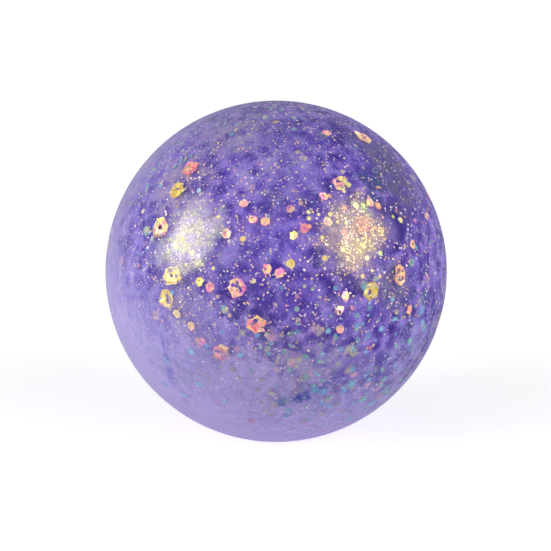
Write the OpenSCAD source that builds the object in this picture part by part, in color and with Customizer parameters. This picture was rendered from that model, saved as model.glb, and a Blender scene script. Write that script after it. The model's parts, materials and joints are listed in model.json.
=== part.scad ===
// Glitter squeeze ball: a clear soft skin in two welded halves, closed at the foot by a plug
// under a seal disc, and filled with violet gel that carries hexagonal glitter film.
// Sizes are in millimetres and +Z is up. The origin is the middle of the flat patch that the
// ball rests on, and the side that the photograph shows faces -Y.

/* [Ball] */
// Outside diameter of the ball
ball_d = 70; // [60:1:90]
// Thickness of the soft skin
skin_wall = 1.8; // [1.4:0.1:2.4]
// Depth by which the soft ball flattens where it rests
foot_depth = 0.7; // [0.6:0.05:1]
// Gap between the skin and the gel
gel_gap = 0.3; // [0.2:0.05:0.5]

/* [Seam] */
// Height of the lip by which the two halves of the skin overlap
lip_h = 3; // [2:0.5:5]
// Gap that the weld fills between the two halves
weld_gap = 0.1; // [0.05:0.05:0.2]

/* [Filling port] */
// Diameter of the port that the gel is filled through
port_d = 8; // [6:0.5:8.5]
// Diameter of the thickened collar around the port
collar_d = 16; // [14:0.5:20]
// Height of the collar above the foot
collar_h = 5; // [4.5:0.5:6]
// Amount by which the plug is wider than the port that grips it
plug_grip = 0.1; // [0.05:0.05:0.2]
// Diameter of the plug's barbed head, inside the collar
barb_d = 10.6; // [9.5:0.1:12]
// Height of the plug's barbed head
barb_h = 1.6; // [1:0.2:2.4]
// Diameter of the seal disc over the plug
seal_d = 11; // [10:0.5:11]
// Thickness of the seal disc
seal_h = 1.2; // [0.8:0.1:1.6]
// Width of the glue line around the seal disc
glue_gap = 0.05; // [0.05:0.05:0.1]

/* [Glitter film] */
// Thickness of the film
film = 0.1; // [0.08:0.02:0.14]
// Width of a large flake across its corners
large_w = 4; // [3:0.25:4.25]
// Height of a large flake's turned-up rim
cup_rise = 0.5; // [0.3:0.05:0.55]
// Share of a large flake's width that is flat
cup_floor = 0.62; // [0.5:0.02:0.75]
// Width of a medium flake across its corners
medium_w = 1.9; // [1.5:0.1:2]
// Width of a small flake across its corners
small_w = 1.1; // [0.8:0.1:1.2]
// Width of a fine flake across its corners
fine_w = 0.5; // [0.3:0.05:0.6]

/* [Glitter scatter] */
// Number of medium flakes in the scatter, all tints together
medium_count = 96; // [48:4:120]
// Number of small flakes, all tints together
small_count = 160; // [80:4:200]
// Number of fine flakes, all tints together
fine_count = 240; // [120:4:280]
// Number of large flakes on the far side of the ball
far_count = 18; // [8:2:20]
// Largest lean of a flake out of the surface of its layer, in degrees
lean = 9; // [0:1:12]
// Seed of the scatter
scatter_seed = 7; // [1:1:99]

/* [Glitter layers] */
// Depth of the fine flakes below the surface of the gel
fine_depth = 0.3; // [0.25:0.05:0.3]
// Depth of the large flakes below the surface of the gel
large_depth = 1.15; // [1.1:0.05:1.2]
// Depth of the medium flakes below the surface of the gel
medium_depth = 2.2; // [2.15:0.05:2.3]
// Depth of the small flakes below the surface of the gel
small_depth = 2.95; // [2.9:0.05:3]
// Depth of the large teal flakes below the surface of the gel
deep_depth = 4.2; // [4:0.1:5]

/* [Hidden] */
$fn = 96;

skin_tint = "#c3b4ea";
skin_alpha = 0.35;
rubber_tint = "#a595d6";
gel_tint = "#6b56b6";
gold = "#f0c452";
coral = "#f27f6e";
teal = "#3fb5ad";
green = "#86cf70";
pearl = "#f0e8f2";

ball_r = ball_d / 2;
inner_r = ball_r - skin_wall;
mid_r = ball_r - skin_wall / 2;
gel_r = inner_r - gel_gap;
centre_z = ball_r - foot_depth;
port_r = port_d / 2;
collar_r = collar_d / 2;
barb_r = barb_d / 2;
seal_r = seal_d / 2;

// The scatter: a spiral that turns by the golden angle, with each flake moved a little.
golden_angle = 137.508;
golden_share = 0.618034;
wander_angle = 3;
hex_turn = 60;
tints = 4;
// The flakes end above the collar, at this latitude below the equator.
lowest_latitude = 68;
spiral_drop = 1 + sin(lowest_latitude);
// The far side of the ball starts at this longitude and runs over this angle.
far_start = 80;
far_sweep = 200;
far_top = 0.9;
far_drop = 1.6;

// The line of sight of the photograph: its rise above the horizon in degrees, and how strongly the
// skin and the gel bend it.
sight_rise = 15;
light_bend = 1.36;

// Where the photograph shows flakes: across and up from the middle of the ball, in ball radii.
seen_large_gold = [
    [-0.56, 0.46], [-0.66, 0.25], [-0.62, -0.16], [0.37, 0.5], [-0.59, -0.02], [0.54, -0.11]
];
seen_large_coral = [
    [-0.49, 0.58], [-0.22, -0.09], [-0.11, -0.3], [0.49, 0.27], [0.7, -0.02], [-0.31, -0.46]
];
seen_large_teal = [
    [0.45, -0.65], [0.69, -0.59], [-0.74, -0.43], [0.6, 0.53], [0.84, -0.17], [0.14, 0.62],
    [-0.26, 0.83]
];
seen_medium_gold = [
    [-0.18, 0.38], [0.1, 0.2], [0.08, 0.04], [0.29, 0.28], [0.59, 0.22], [0.53, 0.39],
    [0.36, -0.22], [-0.43, -0.06], [-0.28, 0.21], [-0.56, -0.24], [0.4, 0.15]
];
seen_medium_coral = [
    [-0.13, 0.29], [-0.06, 0.28], [0.16, 0.24], [0.27, 0.42], [-0.05, 0.01], [0.02, -0.01],
    [0.39, -0.14], [0.36, -0.33], [0.78, 0.15], [0.29, 0.79], [-0.37, -0.09], [-0.48, -0.31],
    [0.76, -0.22], [-0.42, -0.4], [0.09, -0.51]
];
seen_medium_green = [
    [0.44, 0.38], [0.44, -0.46], [0.43, -0.55], [-0.01, -0.76], [0.3, -0.73], [0.77, 0.05]
];

// Longitude and latitude of a flake that is seen at a spot, at a depth below the surface of the gel.
function seen_place(spot, depth) =
    let (
        layer = (gel_r - depth) / ball_r,
        reach = norm(spot),
        away = asin(reach) - asin(reach / light_bend) + asin(reach / light_bend / layer),
        x = sin(away) * spot[0] / reach,
        up = sin(away) * spot[1] / reach,
        y = up * sin(sight_rise) - cos(away) * cos(sight_rise),
        z = up * cos(sight_rise) + cos(away) * sin(sight_rise)
    )
    [atan2(x, -y), asin(z)];

// The places of all the flakes that are seen at given spots.
function seen_places(spots, depth) = [for (spot = spots) seen_place(spot, depth)];

// One place on the far side: a lattice of count places that spreads them evenly.
function far_place(i) = [
    far_start + far_sweep * (i * golden_share - floor(i * golden_share)),
    asin(far_top - far_drop * (i + 0.5) / far_count)
];

// The far places of one tint out of two.
function far_places(first) = [for (i = [first : 2 : far_count - 1]) far_place(i)];

// Stands its child on the ball, looking outwards, at a depth below the surface of the gel.
module on_ball(place, depth) {
    translate([0, 0, centre_z])
        rotate([90 - place[1], 0, place[0]])
            translate([0, 0, gel_r - depth])
                children();
}

// One flat flake of cut film.
module flake(width) {
    cylinder(h = film, d = width, center = true, $fn = 6);
}

// One large flake, with its rim turned up.
module cupped_flake(width) {
    translate([0, 0, -cup_rise / 2])
        difference() {
            cylinder(h = cup_rise, d1 = width * cup_floor, d2 = width, $fn = 6);
            translate([0, 0, film])
                cylinder(h = cup_rise, d1 = width * cup_floor, d2 = width, $fn = 6);
        }
}

// Flakes at given places. Every other one faces inwards.
module placed(places, depth, seed) {
    tilt = rands(-lean, lean, len(places) * 2, seed);
    turn = rands(0, hex_turn, len(places), seed);
    for (i = [0 : len(places) - 1])
        on_ball(places[i], depth)
            rotate([tilt[2 * i] + 180 * (i % 2), tilt[2 * i + 1], turn[i]])
                children();
}

// Every tints-th flake of a spiral of count flakes, so that the tints never meet in a layer.
module scattered(count, tint, depth, seed) {
    wander = rands(-wander_angle, wander_angle, count * 2, seed);
    tilt = rands(-2 * lean, 2 * lean, count * 2, seed + 1);
    turn = rands(0, hex_turn, count, seed + 2);
    for (i = [tint : tints : count - 1]) {
        longitude = golden_angle * i + wander[2 * i];
        latitude = asin(1 - spiral_drop * (i + 0.5) / count) + wander[2 * i + 1];
        on_ball([longitude, latitude], depth)
            rotate([tilt[2 * i], tilt[2 * i + 1], turn[i]])
                children();
    }
}

// The half section of a round shell about the centre of the ball, between two heights.
module shell_section(outer, inner, low, high) {
    intersection() {
        difference() {
            circle(outer);
            circle(inner);
        }
        translate([0, low])
            square([outer, high - low]);
    }
}

// Turns a half section about the centre of the ball into a solid.
module turned_at_centre() {
    translate([0, 0, centre_z])
        rotate_extrude()
            children();
}

module upper_skin() {
    color(skin_tint, skin_alpha)
        turned_at_centre() {
            shell_section(ball_r, inner_r, weld_gap / 2, ball_r);
            shell_section(mid_r - weld_gap / 2, inner_r, -lip_h, weld_gap / 2);
        }
}

module lower_skin() {
    step = -lip_h - weld_gap;
    color(skin_tint, skin_alpha)
        difference() {
            union() {
                turned_at_centre() {
                    shell_section(ball_r, inner_r, -centre_z, step);
                    shell_section(ball_r, mid_r + weld_gap / 2, step, -weld_gap / 2);
                }
                translate([0, 0, seal_h])
                    cylinder(h = collar_h - seal_h, r = collar_r);
            }
            cylinder(h = 3 * collar_h, r = port_r, center = true);
            cylinder(h = 2 * seal_h, r = seal_r + glue_gap, center = true);
        }
}

module fill_plug() {
    color(rubber_tint)
        union() {
            translate([0, 0, seal_h])
                cylinder(h = collar_h - seal_h, r = port_r + plug_grip / 2);
            translate([0, 0, collar_h])
                cylinder(h = barb_h, r1 = barb_r, r2 = port_r);
        }
}

module seal_disc() {
    color(rubber_tint)
        cylinder(h = seal_h, r = seal_r);
}

module gel_fill() {
    color(gel_tint)
        difference() {
            translate([0, 0, centre_z])
                sphere(gel_r);
            cylinder(h = 2 * (collar_h + gel_gap), r = collar_r + gel_gap, center = true);
            cylinder(h = 2 * (collar_h + barb_h + gel_gap), r = barb_r + gel_gap, center = true);
        }
}

module large_gold_flakes() {
    places = concat(seen_places(seen_large_gold, large_depth), far_places(0));
    color(gold)
        placed(places, large_depth, scatter_seed)
            cupped_flake(large_w);
}

module large_coral_flakes() {
    places = concat(seen_places(seen_large_coral, large_depth), far_places(1));
    color(coral)
        placed(places, large_depth, scatter_seed + 1)
            cupped_flake(large_w);
}

module large_teal_flakes() {
    places = concat(seen_places(seen_large_teal, deep_depth), far_places(0));
    color(teal)
        placed(places, deep_depth, scatter_seed + 2)
            cupped_flake(large_w);
}

module medium_gold_flakes() {
    color(gold) {
        scattered(medium_count, 0, medium_depth, scatter_seed) flake(medium_w);
        placed(seen_places(seen_medium_gold, large_depth), large_depth, scatter_seed + 3)
            flake(medium_w);
    }
}

module medium_coral_flakes() {
    color(coral) {
        scattered(medium_count, 1, medium_depth, scatter_seed) flake(medium_w);
        placed(seen_places(seen_medium_coral, large_depth), large_depth, scatter_seed + 4)
            flake(medium_w);
    }
}

module medium_teal_flakes() {
    color(teal)
        scattered(medium_count, 2, medium_depth, scatter_seed) flake(medium_w);
}

module medium_green_flakes() {
    color(green) {
        scattered(medium_count, 3, medium_depth, scatter_seed) flake(medium_w);
        placed(seen_places(seen_medium_green, large_depth), large_depth, scatter_seed + 5)
            flake(medium_w);
    }
}

module small_gold_flakes() {
    color(gold)
        scattered(small_count, 0, small_depth, scatter_seed + 10) flake(small_w);
}

module small_coral_flakes() {
    color(coral)
        scattered(small_count, 1, small_depth, scatter_seed + 10) flake(small_w);
}

module small_teal_flakes() {
    color(teal)
        scattered(small_count, 2, small_depth, scatter_seed + 10) flake(small_w);
}

module small_pearl_flakes() {
    color(pearl)
        scattered(small_count, 3, small_depth, scatter_seed + 10) flake(small_w);
}

module fine_gold_flakes() {
    color(gold)
        scattered(fine_count, 0, fine_depth, scatter_seed + 20) flake(fine_w);
}

module fine_coral_flakes() {
    color(coral)
        scattered(fine_count, 1, fine_depth, scatter_seed + 20) flake(fine_w);
}

module fine_teal_flakes() {
    color(teal)
        scattered(fine_count, 2, fine_depth, scatter_seed + 20) flake(fine_w);
}

module fine_pearl_flakes() {
    color(pearl)
        scattered(fine_count, 3, fine_depth, scatter_seed + 20) flake(fine_w);
}

upper_skin();
lower_skin();
fill_plug();
seal_disc();
gel_fill();
large_gold_flakes();
large_coral_flakes();
large_teal_flakes();
medium_gold_flakes();
medium_coral_flakes();
medium_teal_flakes();
medium_green_flakes();
small_gold_flakes();
small_coral_flakes();
small_teal_flakes();
small_pearl_flakes();
fine_gold_flakes();
fine_coral_flakes();
fine_teal_flakes();
fine_pearl_flakes();
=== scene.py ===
"""Looks of the glitter squeeze ball: clear skin, clouded gel, glitter film, and the studio around it."""

import json
import logging
import math
from dataclasses import dataclass, field
from enum import Enum
from typing import Any, Sequence, Union

import bmesh
import bpy
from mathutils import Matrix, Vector, noise


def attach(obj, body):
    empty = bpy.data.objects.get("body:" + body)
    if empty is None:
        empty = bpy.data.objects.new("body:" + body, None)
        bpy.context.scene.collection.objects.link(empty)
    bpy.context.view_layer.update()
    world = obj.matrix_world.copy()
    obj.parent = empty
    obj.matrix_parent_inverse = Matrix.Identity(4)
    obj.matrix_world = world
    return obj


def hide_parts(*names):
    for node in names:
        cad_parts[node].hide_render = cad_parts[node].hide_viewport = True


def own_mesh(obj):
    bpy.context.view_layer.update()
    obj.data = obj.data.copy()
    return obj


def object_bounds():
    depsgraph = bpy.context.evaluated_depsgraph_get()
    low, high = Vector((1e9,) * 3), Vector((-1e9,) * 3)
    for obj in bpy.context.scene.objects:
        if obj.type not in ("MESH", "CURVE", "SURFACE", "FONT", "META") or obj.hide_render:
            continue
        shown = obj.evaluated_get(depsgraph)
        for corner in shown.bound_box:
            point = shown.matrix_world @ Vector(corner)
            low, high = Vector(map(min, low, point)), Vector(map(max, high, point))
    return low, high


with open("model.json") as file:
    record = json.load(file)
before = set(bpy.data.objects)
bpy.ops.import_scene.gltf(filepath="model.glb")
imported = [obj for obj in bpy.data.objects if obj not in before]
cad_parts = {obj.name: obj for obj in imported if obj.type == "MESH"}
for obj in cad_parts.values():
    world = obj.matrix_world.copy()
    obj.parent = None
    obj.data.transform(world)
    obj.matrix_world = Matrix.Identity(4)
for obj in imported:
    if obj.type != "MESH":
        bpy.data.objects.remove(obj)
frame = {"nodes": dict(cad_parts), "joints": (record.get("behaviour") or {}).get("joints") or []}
CAD_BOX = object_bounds()

LOG = logging.getLogger("squeeze_ball")
MM = 0.001
HALF = 0.5
HEXAGON = 6
CRINKLES = 700.0
CRINKLE_SEED = 7
GOLDEN_SHARE = 0.618034
ON_AXIS = 1e-7
WELD = 1e-6
FLAT = math.radians(1.0)
REST = "rest"
TONE = "tone"
REACH = "reach"
SIDE = "side"
ORIGIN = (0.0, 0.0, 0.0)
WHITE = (1.0, 1.0, 1.0)
Colour = tuple[float, float, float]
# The low and the high end of a smooth step, and what it gives there if that isn't nought and one.
Ramp = tuple[float, ...]
Number = Union["Wire", float]


class Body(Enum):
    """The bodies that the pieces ride on."""

    BASE = "base"
    FILL = "fill"


class Tint(Enum):
    """The tints that the glitter film is cut from."""

    GOLD = "gold"
    CORAL = "coral"
    TEAL = "teal"
    GREEN = "green"
    PEARL = "pearl"


class Cut(Enum):
    """The sizes that the glitter film is cut to."""

    LARGE = "large"
    MEDIUM = "medium"
    SMALL = "small"


class Look(Enum):
    """How dust shows: bare and sharp, sunk in milk, or soft and bright in a glow."""

    BARE = "bare"
    SUNKEN = "sunken"
    GLOWING = "glowing"


class Depth(Enum):
    """The shells of gel that dust lies in, by inner and outer radius."""

    INNER = (30.0 * MM, 31.0 * MM)
    OUTER = (31.2 * MM, 31.6 * MM)
    LOOSE = (31.4 * MM, 32.7 * MM)
    SKIN = (32.9 * MM, 33.05 * MM)


@dataclass(frozen=True)
class Wire:
    """One output socket, whose arithmetic adds Math nodes to its graph."""

    graph: "Graph"
    socket: bpy.types.NodeSocket

    def __add__(self, other: Number) -> "Wire":
        """Adds a number or a wire."""
        return self.graph.maths("ADD", self, other)

    def __radd__(self, other: Number) -> "Wire":
        """Adds this wire to a number."""
        return self.graph.maths("ADD", other, self)

    def __sub__(self, other: Number) -> "Wire":
        """Takes away a number or a wire."""
        return self.graph.maths("SUBTRACT", self, other)

    def __rsub__(self, other: Number) -> "Wire":
        """Takes this wire away from a number."""
        return self.graph.maths("SUBTRACT", other, self)

    def __mul__(self, other: Number) -> "Wire":
        """Multiplies by a number or a wire."""
        return self.graph.maths("MULTIPLY", self, other)

    def __rmul__(self, other: Number) -> "Wire":
        """Multiplies a number by this wire."""
        return self.graph.maths("MULTIPLY", other, self)

    def eased(self, low: float, high: float, start: float = 0.0, end: float = 1.0) -> "Wire":
        """Maps a range onto another with a smooth step.

        Args:
            low: The value that gives start.
            high: The value that gives end.
            start: The result at low and below.
            end: The result at high and above.

        Returns:
            The mapped wire.
        """
        settings = {"interpolation_type": "SMOOTHSTEP"}
        sockets = {"Value": self, "From Min": low, "From Max": high, "To Min": start, "To Max": end}
        return self.graph.add("ShaderNodeMapRange", settings, sockets)


@dataclass(frozen=True)
class Pattern:
    """A noise: how fine it is, how many octaves it has, how far it is warped, and where it is cut from."""

    scale: Number
    detail: float = 3.0
    warp: float = 0.0
    shift: Colour = ORIGIN


class Graph:
    """A node tree that is written as expressions."""

    def __init__(self, tree: bpy.types.NodeTree) -> None:
        """Keeps the tree and empties it."""
        self.tree = tree
        tree.nodes.clear()

    def add(
        self,
        kind: str,
        settings: dict[str, Any] | None = None,
        sockets: dict[Any, Any] | None = None,
        output: Any = 0,
    ) -> Wire:
        """Adds a node.

        Args:
            kind: The node's type.
            settings: Its properties, or "stops" for a colour ramp, which are set first.
            sockets: Values or wires for its inputs, by name or place.
            output: The name or place of the output that is handed back.

        Returns:
            The chosen output.
        """
        node = self.tree.nodes.new(kind)
        for name, value in (settings or {}).items():
            if name == "stops":
                self._set_stops(node, value)
            else:
                setattr(node, name, value)
        for name, value in (sockets or {}).items():
            target = node.inputs[name]
            if isinstance(value, Wire):
                self.tree.links.new(value.socket, target)
            elif target.type == "RGBA" and len(value) == 3:
                target.default_value = (*value, 1.0)
            else:
                target.default_value = value
        return Wire(self, node.outputs[output] if len(node.outputs) else None)

    @staticmethod
    def _set_stops(node: bpy.types.Node, stops: Sequence[tuple[float, Colour]]) -> None:
        """Gives a colour ramp its stops.

        Args:
            node: The ramp's node.
            stops: The place and the colour of each stop.
        """
        ramp = node.color_ramp
        while len(ramp.elements) < len(stops):
            ramp.elements.new(1.0)
        for element, (place, colour) in zip(ramp.elements, stops):
            element.position = place
            element.color = (*colour, 1.0)

    def maths(self, operation: str, first: Number, second: Number = 0.0) -> Wire:
        """Adds a Math node on one or two numbers."""
        return self.add("ShaderNodeMath", {"operation": operation}, {0: first, 1: second})

    def vector(self, operation: str, *vectors: Any) -> Wire:
        """Adds a Vector Math node, and hands back its vector or the number that it measures."""
        output = "Value" if operation in ("DISTANCE", "DOT_PRODUCT", "LENGTH") else "Vector"
        return self.add("ShaderNodeVectorMath", {"operation": operation}, dict(enumerate(vectors)), output)

    def scaled(self, vector: Any, by: Number) -> Wire:
        """Adds a Vector Math node that scales a vector."""
        return self.add("ShaderNodeVectorMath", {"operation": "SCALE"}, {0: vector, "Scale": by})

    def mix(self, share: Number, first: Any, second: Any) -> Wire:
        """Mixes two colours."""
        return self.add("ShaderNodeMix", {"data_type": "RGBA"}, {0: share, 6: first, 7: second}, 2)

    def blend(self, share: Number, first: Wire, second: Wire) -> Wire:
        """Mixes two shaders."""
        return self.add("ShaderNodeMixShader", {}, {0: share, 1: first, 2: second})

    def principled(self, colour: Wire, sockets: dict[str, Number]) -> Wire:
        """Adds a Principled shader of one colour, with its other sockets by name."""
        return self.add("ShaderNodeBsdfPrincipled", {}, {"Base Color": colour, **sockets})

    def noise(self, pattern: Pattern, where: Wire | None = None) -> Wire:
        """Adds a noise texture.

        Args:
            pattern: What the noise is like.
            where: Where it is read, or None for each point's place at rest, moved by the pattern's shift.

        Returns:
            Its value, about a half.
        """
        sockets = {
            "Vector": where or self.place(pattern.shift),
            "Scale": pattern.scale,
            "Detail": pattern.detail,
            "Distortion": pattern.warp,
        }
        return self.add("ShaderNodeTexNoise", {}, sockets, "Fac")

    def bump(self, height: Wire, depth: float, strength: float = 1.0) -> Wire:
        """Turns a height into a normal."""
        return self.add("ShaderNodeBump", {}, {"Height": height, "Distance": depth, "Strength": strength})

    def place(self, shift: Colour = ORIGIN) -> Wire:
        """Each point's place before the ball is squeezed, moved by a shift in metres."""
        where = self.add("ShaderNodeAttribute", {"attribute_name": REST}, output="Vector")
        return self.add("ShaderNodeMapping", {}, {"Vector": where, "Location": shift})

    def marked(self, name: str) -> Wire:
        """A number that the mesh holds at each point."""
        return self.add("ShaderNodeAttribute", {"attribute_name": name}, output="Fac")

    def also(self, wire: Wire, output: str) -> Wire:
        """Another output of the node that a wire comes from."""
        return Wire(self, wire.socket.node.outputs[output])

    def axes(self, vector: Wire) -> tuple[Wire, Wire, Wire]:
        """The three numbers of a vector or a colour."""
        first = self.add("ShaderNodeSeparateXYZ", {}, {0: vector})
        return first, self.also(first, "Y"), self.also(first, "Z")

    def clear(self, tint: Colour = WHITE) -> Wire:
        """A shader that lets everything through."""
        return self.add("ShaderNodeBsdfTransparent", {}, {"Color": tint})

    def ray(self, kind: str) -> Wire:
        """One for a kind of ray, and nought for the others."""
        return self.add("ShaderNodeLightPath", output=f"Is {kind} Ray")

    def looked_at(self) -> Wire:
        """One for the rays that the camera sends, straight or by way of shine and glass."""
        return self.ray("Camera") + self.ray("Glossy") + self.ray("Transmission")

    def open_to_lamps(self, surface: Wire) -> Wire:
        """Lets lamps shine through a surface."""
        return self.blend(self.ray("Shadow"), surface, self.clear())


class Finish:
    """A material that is built once and shared."""

    name: str

    def material(self) -> bpy.types.Material:
        """Builds the material, or finds the one that is there.

        Returns:
            The material.
        """
        title = f"{self.name} finish"
        found = bpy.data.materials.get(title)
        if found is not None:
            return found
        made = bpy.data.materials.new(title)
        made.use_nodes = True
        graph = Graph(made.node_tree)
        surface = self.surface(graph)
        graph.add("ShaderNodeOutputMaterial", {}, {"Surface": surface})
        return made

    def surface(self, graph: Graph) -> Wire:
        """Builds the shader.

        Args:
            graph: The material's empty graph.

        Returns:
            The shader's output.
        """
        raise NotImplementedError


def on_sphere(longitude: float, latitude: float, radius: float) -> Vector:
    """A point on a sphere about the origin.

    Args:
        longitude: Degrees to the right of the front.
        latitude: Degrees above the equator.
        radius: Radius of the sphere.

    Returns:
        The point.
    """
    turn, rise = math.radians(longitude), math.radians(latitude)
    flat = radius * math.cos(rise)
    return Vector((flat * math.sin(turn), -flat * math.cos(turn), radius * math.sin(rise)))


def painted_light_and_sediment(graph: Graph, centre: float, side: float = 13.0, drop: float = 29.0) -> Wire:
    """Partly how much pigment has sunk and partly painted light and shade: below nought at the upper right,
    where it stands for painted shade, and near one at the lower left, where it stands for painted light.

    Args:
        graph: The graph of a piece of the ball.
        centre: Height of the ball's centre.
        side: How fast it grows towards the left, per metre.
        drop: How fast it grows towards the foot, per metre.

    Returns:
        The amount, from about minus one to one.
    """
    across, _, up = graph.axes(graph.place())
    return across * -side + (centre - up) * drop


@dataclass(frozen=True)
class ClearSkin(Finish):
    """Clear soft rubber that bends light, faintly milky, with a satin shine."""

    name: str = "clear_skin"
    centre: float = 0.0
    tint: Colour = (0.955, 0.93, 0.99)
    milk: Colour = (0.46, 0.41, 0.68)
    bend: float = 1.36
    waves: Pattern = Pattern(160.0)
    wave_depth: float = 0.6 * MM
    wave_strength: float = 0.4
    satin: Pattern = Pattern(140.0)
    satin_rough: Ramp = (0.35, 0.7, 0.14, 0.26)
    mirroring: Ramp = (0.0, 1.0, 0.015, 0.12)
    rim: Ramp = (0.3, 0.9)
    # How fast the rim's milk grows towards the left and the foot, where it is painted light.
    rim_side: float = 17.0
    rim_drop: float = 3.0
    rim_milk: Ramp = (-0.6, 0.6, 0.16, 0.65)

    def surface(self, graph: Graph) -> Wire:
        """Refraction under a satin reflection, milky at the rim and most at the lower left, where the milk is
        painted light, open to lamps and to light from inside.

        Args:
            graph: The material's empty graph.

        Returns:
            The shader's output.
        """
        normal = graph.bump(graph.noise(self.waves), self.wave_depth, self.wave_strength)
        rough = graph.noise(self.satin).eased(*self.satin_rough)
        sockets = {"Color": self.tint, "Roughness": 0.0, "IOR": self.bend}
        through = graph.add("ShaderNodeBsdfRefraction", {}, sockets)
        sockets = {"Color": WHITE, "Roughness": rough, "Normal": normal}
        shine = graph.add("ShaderNodeBsdfGlossy", {}, sockets)
        mirrored = graph.add("ShaderNodeFresnel", {}, {"IOR": self.bend}).eased(*self.mirroring)
        slant = graph.add("ShaderNodeLayerWeight", output="Facing").eased(*self.rim)
        # Milk at the rim, more towards the lower left as painted light and less at the upper right as painted
        # shade.
        settled_and_painted_light = painted_light_and_sediment(graph, self.centre, self.rim_side, self.rim_drop)
        cloud = graph.add("ShaderNodeBsdfDiffuse", {}, {"Color": self.milk})
        milky = graph.blend(slant * settled_and_painted_light.eased(*self.rim_milk), through, cloud)
        solid = graph.blend(mirrored, milky, shine)
        from_inside = graph.ray("Diffuse") + graph.ray("Glossy")
        open_to_gel = graph.blend(from_inside, solid, graph.clear(self.tint))
        return graph.blend(graph.ray("Shadow"), open_to_gel, graph.clear(self.tint))


@dataclass(frozen=True)
class MatchedWall(Finish):
    """The inside of the skin, where the gel wets it and no light bends."""

    name: str = "matched_wall"

    def surface(self, graph: Graph) -> Wire:
        """A face that lets everything through."""
        return graph.clear()


@dataclass(frozen=True)
class Patch:
    """A round place on a layer of the ball, frayed at its edge."""

    longitude: float
    latitude: float
    reach: float
    share: float

    def mask(self, graph: Graph, centre: float, radius: float, wander: Wire, edge: float) -> Wire:
        """How much of the layer the patch covers.

        Args:
            graph: The graph of the layer.
            centre: Height of the ball's centre.
            radius: Radius of the layer.
            wander: How far the edge strays at each point.
            edge: How wide the edge is.

        Returns:
            The patch's share inside it, and nought outside.
        """
        away = self._away(graph, centre, radius)
        return (away + wander).eased(self.reach - edge, self.reach, self.share, 0.0)

    def _away(self, graph: Graph, centre: float, radius: float) -> Wire:
        """How far each point is from the middle of the patch."""
        spot = on_sphere(self.longitude, self.latitude, radius) + Vector((0, 0, centre))
        return graph.vector("DISTANCE", graph.place(), tuple(spot))


@dataclass(frozen=True)
class Stain(Patch):
    """A patch of pigment with a tint of its own, which closes the veil it lies in."""

    tint: Colour
    closing: float = 1.0


@dataclass(frozen=True)
class Streak(Stain):
    """A stain that is drawn out in a line to another place."""

    end: tuple[float, float] = (0.0, 0.0)

    def _away(self, graph: Graph, centre: float, radius: float) -> Wire:
        """Measures from the line.

        Args:
            graph: The graph of the layer.
            centre: Height of the ball's centre.
            radius: Radius of the layer.

        Returns:
            How far each point is from the line.
        """
        start = on_sphere(self.longitude, self.latitude, radius)
        along = on_sphere(*self.end, radius) - start
        start.z += centre
        offset = graph.vector("SUBTRACT", graph.place(), tuple(start))
        passed = graph.vector("DOT_PRODUCT", offset, tuple(along / along.length_squared))
        held = graph.add("ShaderNodeClamp", {}, {"Value": passed})
        return graph.vector("DISTANCE", offset, graph.scaled(tuple(along), held))


def weighed(wires: Sequence[Wire], shares: Sequence[float]) -> Wire:
    """Adds wires up.

    Args:
        wires: The wires.
        shares: How much each of them counts.

    Returns:
        Their sum.
    """
    first, *others = [wire * share for wire, share in zip(wires, shares)]
    return sum(others, first)


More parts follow.
